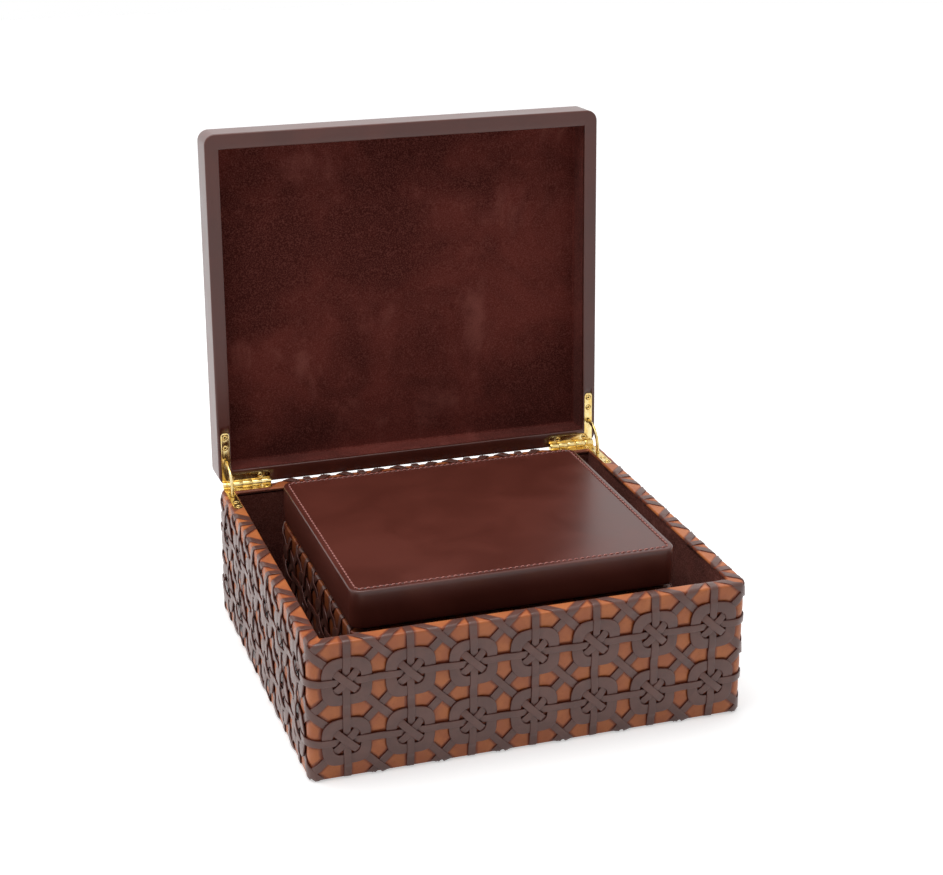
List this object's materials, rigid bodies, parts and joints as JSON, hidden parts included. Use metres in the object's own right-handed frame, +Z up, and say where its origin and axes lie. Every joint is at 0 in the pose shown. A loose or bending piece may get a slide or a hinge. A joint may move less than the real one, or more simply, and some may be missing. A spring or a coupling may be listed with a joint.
{
  "type": "lidded jewellery box with a nested box",
  "caption": "Leather-covered jewellery box standing open, with a smaller matching lidded box inside it; woven strap lattice, suede lining and brass quadrant hinges.",
  "frame": {"origin": "on the table, under the middle of the large box's felt pad", "axes": "+X to the right along the front, +Y towards the hinges at the back, +Z up"},
  "size_m": [0.3048, 0.3059, 0.359],
  "materials": {
    "tan_leather": "satin tan hide",
    "strap_leather": "semi-gloss dark brown straps",
    "lid_leather": "smooth polished dark brown hide",
    "lid_suede": "burgundy brown suede",
    "body_suede": "dark brown suede",
    "base_felt": "dark brown felt",
    "carcass_wood": "plain sanded board",
    "brass": "polished",
    "screw_brass": "polished"
  },
  "bodies": {
    "large_box": {"large_front_board": "carcass_wood", "large_back_board": "carcass_wood", "large_left_board": "carcass_wood", "large_right_board": "carcass_wood", "large_base_board": "carcass_wood", "large_base_pad": "base_felt", "large_leather_cover": "tan_leather", "large_wall_lining": "body_suede", "large_floor_lining": "body_suede", "large_lattice_straps": "strap_leather", "large_lattice_rings": "strap_leather", "large_body_screws": "screw_brass", "large_left_body_plate": "brass", "large_right_body_plate": "brass"},
    "large_lid": {"large_lid_front_rail": "carcass_wood", "large_lid_back_rail": "carcass_wood", "large_lid_left_rail": "carcass_wood", "large_lid_right_rail": "carcass_wood", "large_lid_top_board": "carcass_wood", "large_lid_side_band": "lid_leather", "large_lid_top_leather": "lid_leather", "large_lid_lining": "lid_suede", "large_lid_screws": "screw_brass", "large_left_lid_plate": "brass", "large_right_lid_plate": "brass"},
    "large_left_stay": {"large_left_stay_arm": "brass"},
    "large_left_hinge_pin": {"large_left_pin": "brass"},
    "large_right_stay": {"large_right_stay_arm": "brass"},
    "large_right_hinge_pin": {"large_right_pin": "brass"},
    "small_box": {"small_front_board": "carcass_wood", "small_back_board": "carcass_wood", "small_left_board": "carcass_wood", "small_right_board": "carcass_wood", "small_base_board": "carcass_wood", "small_base_pad": "base_felt", "small_leather_cover": "tan_leather", "small_wall_lining": "body_suede", "small_floor_lining": "body_suede", "small_lattice_straps": "strap_leather", "small_lattice_rings": "strap_leather", "small_body_screws": "screw_brass", "small_left_body_plate": "brass", "small_right_body_plate": "brass"},
    "small_lid": {"small_lid_front_rail": "carcass_wood", "small_lid_back_rail": "carcass_wood", "small_lid_left_rail": "carcass_wood", "small_lid_right_rail": "carcass_wood", "small_lid_top_board": "carcass_wood", "small_lid_side_band": "lid_leather", "small_lid_top_leather": "lid_leather", "small_lid_lining": "lid_suede", "small_lid_screws": "screw_brass", "small_left_lid_plate": "brass", "small_right_lid_plate": "brass"},
    "small_left_stay": {"small_left_stay_arm": "brass"},
    "small_left_hinge_pin": {"small_left_pin": "brass"},
    "small_right_stay": {"small_right_stay_arm": "brass"},
    "small_right_hinge_pin": {"small_right_pin": "brass"}
  },
  "joints": [
    {"name": "large_lid_hinge", "type": "hinge", "parent": "large_box", "child": "large_lid", "pos_m": [0, 0.1307, 0.0975], "axis": [-1, 0, 0], "range_deg": [-93.4, 0]},
    {"name": "large_left_stay_swing", "type": "hinge", "parent": "large_box", "child": "large_left_stay", "pos_m": [0, 0.1307, 0.0975], "axis": [-1, 0, 0], "range_deg": [-46.7, 0]},
    {"name": "large_left_pin_turn", "type": "hinge", "parent": "large_box", "child": "large_left_hinge_pin", "pos_m": [0, 0.1307, 0.0975], "axis": [-1, 0, 0], "continuous": true},
    {"name": "large_right_stay_swing", "type": "hinge", "parent": "large_box", "child": "large_right_stay", "pos_m": [0, 0.1307, 0.0975], "axis": [-1, 0, 0], "range_deg": [-46.7, 0]},
    {"name": "large_right_pin_turn", "type": "hinge", "parent": "large_box", "child": "large_right_hinge_pin", "pos_m": [0, 0.1307, 0.0975], "axis": [-1, 0, 0], "continuous": true},
    {"name": "small_box_lift", "type": "slide", "parent": "large_box", "child": "small_box", "axis": [0, 0, 1], "range_m": [0, 0.11]},
    {"name": "small_lid_hinge", "type": "hinge", "parent": "small_box", "child": "small_lid", "pos_m": [0, 0.0907, 0.0845], "axis": [-1, 0, 0], "range_deg": [0, 93.4]},
    {"name": "small_left_stay_swing", "type": "hinge", "parent": "small_box", "child": "small_left_stay", "pos_m": [0, 0.0907, 0.0845], "axis": [-1, 0, 0], "range_deg": [0, 46.7]},
    {"name": "small_left_pin_turn", "type": "hinge", "parent": "small_box", "child": "small_left_hinge_pin", "pos_m": [0, 0.0907, 0.0845], "axis": [-1, 0, 0], "continuous": true},
    {"name": "small_right_stay_swing", "type": "hinge", "parent": "small_box", "child": "small_right_stay", "pos_m": [0, 0.0907, 0.0845], "axis": [-1, 0, 0], "range_deg": [0, 46.7]},
    {"name": "small_right_pin_turn", "type": "hinge", "parent": "small_box", "child": "small_right_hinge_pin", "pos_m": [0, 0.0907, 0.0845], "axis": [-1, 0, 0], "continuous": true}
  ],
  "couplings": [
    {"joint": "large_left_stay_swing", "follows": "large_lid_hinge", "ratio": 0.5},
    {"joint": "large_right_stay_swing", "follows": "large_lid_hinge", "ratio": 0.5},
    {"joint": "small_left_stay_swing", "follows": "small_lid_hinge", "ratio": 0.5},
    {"joint": "small_right_stay_swing", "follows": "small_lid_hinge", "ratio": 0.5}
  ]
}
